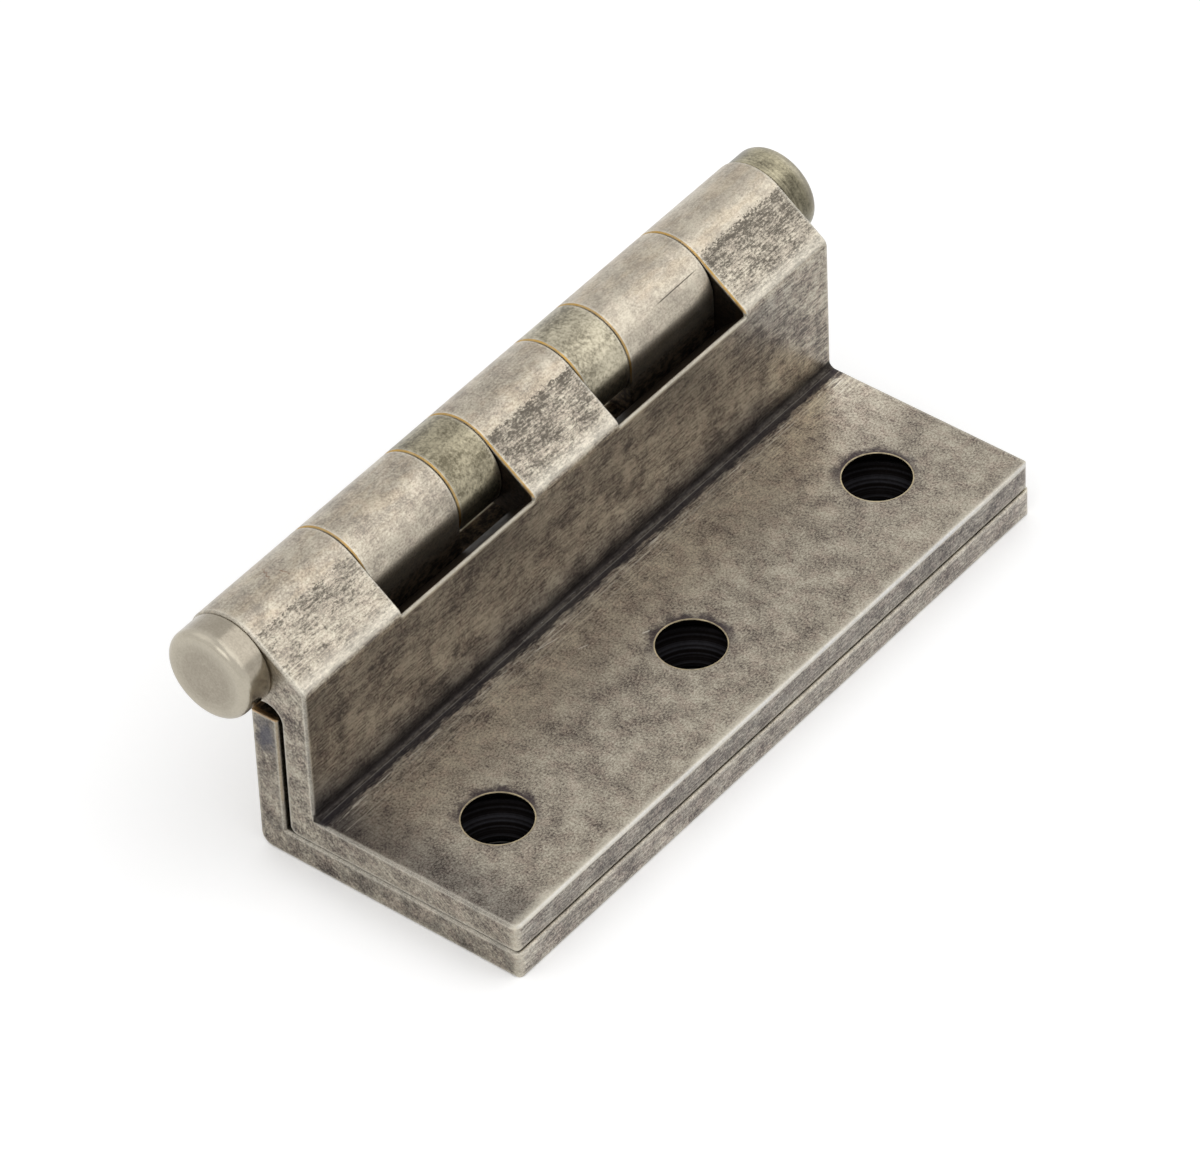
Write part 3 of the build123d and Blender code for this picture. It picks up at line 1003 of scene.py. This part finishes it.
# Painted shadow: the floor turns near black in a disc under each screw hole.
in_ring = mask(tree, from_hole(tree, spot), hole_radius + 0.3, hole_radius - 0.1)
under_leaf = mask(tree, spot.from_middle, leaf_high.y, leaf_high.y - 0.3)
hole_shadow = times(tree, in_ring, under_leaf)
pale = (0.9, 0.9, 0.9, 1)
dark = (0.02, 0.02, 0.02, 1)
shaded = add_node(tree, "ShaderNodeBsdfDiffuse")
feed(tree, lay_over(tree, hole_shadow, pale, dark), shaded.inputs["Color"])
# Painted contact shadow: the floor's glow fades where ambient occlusion finds the hinge close by.
open_sky = add_node(tree, "ShaderNodeAmbientOcclusion", samples=3)
open_sky.inputs["Distance"].default_value = 6 * mm
glow = add_node(tree, "ShaderNodeEmission")
in_the_open = mask(tree, open_sky.outputs["AO"], 0.1, 0.55)
clear_of_hole_shadow = reckon(tree, "SUBTRACT", 1.0, hole_shadow)
feed(tree, times(tree, in_the_open, 0.3, clear_of_hole_shadow), glow.inputs["Strength"])
lit = add_node(tree, "ShaderNodeAddShader")
feed(tree, shaded.outputs[0], lit.inputs[0])
feed(tree, glow.outputs[0], lit.inputs[1])
either = add_node(tree, "ShaderNodeMixShader")
feed(tree, seen_directly(tree), either.inputs[0])
feed(tree, plain.outputs[0], either.inputs[1])
feed(tree, lit.outputs[0], either.inputs[2])
out = add_node(tree, "ShaderNodeOutputMaterial")
feed(tree, either.outputs[0], out.inputs["Surface"])
floor.data.materials.append(paper)
print("floor lies at", round(floor.location.z / mm, 3), "mm")

# %% The world round the hinge
world = bpy.data.worlds.new("studio")
world.use_nodes = True
bpy.context.scene.world = world
tree = world.node_tree
background = tree.nodes["Background"]
background.inputs["Color"].default_value = (1, 1, 1, 1)
feed(tree, scaled(tree, seen_directly(tree), 0.3, 0.7), background.inputs["Strength"])
print("the world gives most of the light and looks white")

# %% [markdown]
# ## Light
# A big soft lamp behind and to the right makes the sloping lands bright, as in a product
# picture lit through a tent, and a weaker one at the front left opens the shadows. A small
# one in front puts the bright streak on the near cap's rim.

# %% Three soft lamps


def towards(azimuth, elevation):
    """The direction from the hinge to a compass direction and a height, both in degrees."""
    turn = math.radians(azimuth)
    lift = math.radians(elevation)
    across = math.cos(lift)
    return Vector((math.sin(turn) * across, -math.cos(turn) * across, math.sin(lift)))


def soft_lamp(name, azimuth, elevation, distance, size, watts):
    """A square lamp that faces the hinge from a compass direction and a height."""
    lamp = bpy.data.lights.new(name, "AREA")
    lamp.shape = "SQUARE"
    lamp.size = size
    lamp.energy = watts
    lamp_object = bpy.data.objects.new(name, lamp)
    bpy.context.scene.collection.objects.link(lamp_object)
    way = towards(azimuth, elevation)
    lamp_object.location = way * distance
    lamp_object.rotation_euler = way.to_track_quat("Z", "Y").to_euler()
    print(name, "lamp:", watts, "W from", distance, "m")


soft_lamp("key", azimuth=139, elevation=48, distance=1.1, size=1.2, watts=3.0)
soft_lamp("fill", azimuth=-60, elevation=50, distance=1.0, size=0.8, watts=0.5)
soft_lamp("front", azimuth=12, elevation=42, distance=1.0, size=0.5, watts=0.7)

# %% [markdown]
# ## Camera
# The hinge was photographed from far away with a long lens, which keeps its edges almost
# parallel. The camera looks at a point near the barrel's middle, turned a little on its axis.

# %% Stand the camera where the photographer stood
camera_azimuth = 40.11
camera_elevation = 42.47
camera_roll = -2.75
camera_distance = 660.9 * mm
camera_aim = Vector((-7.1, -1.97, 10.0)) * mm

back = towards(camera_azimuth, camera_elevation)
level = back.to_track_quat("Z", "Y").to_matrix().to_4x4()
camera_data = bpy.data.cameras.new("camera")
camera_data.lens = 260.4
camera_data.sensor_width = 36.0
camera_data.clip_start = 0.01
camera = bpy.data.objects.new("camera", camera_data)
bpy.context.scene.collection.objects.link(camera)
camera.matrix_world = (
    Matrix.Translation(camera_aim + back * camera_distance)
    @ level
    @ Matrix.Rotation(math.radians(camera_roll), 4, "Z")
)
bpy.context.scene.camera = camera
bpy.context.scene.view_settings.view_transform = "Standard"
print("camera stands", round(camera_distance, 3), "m away")
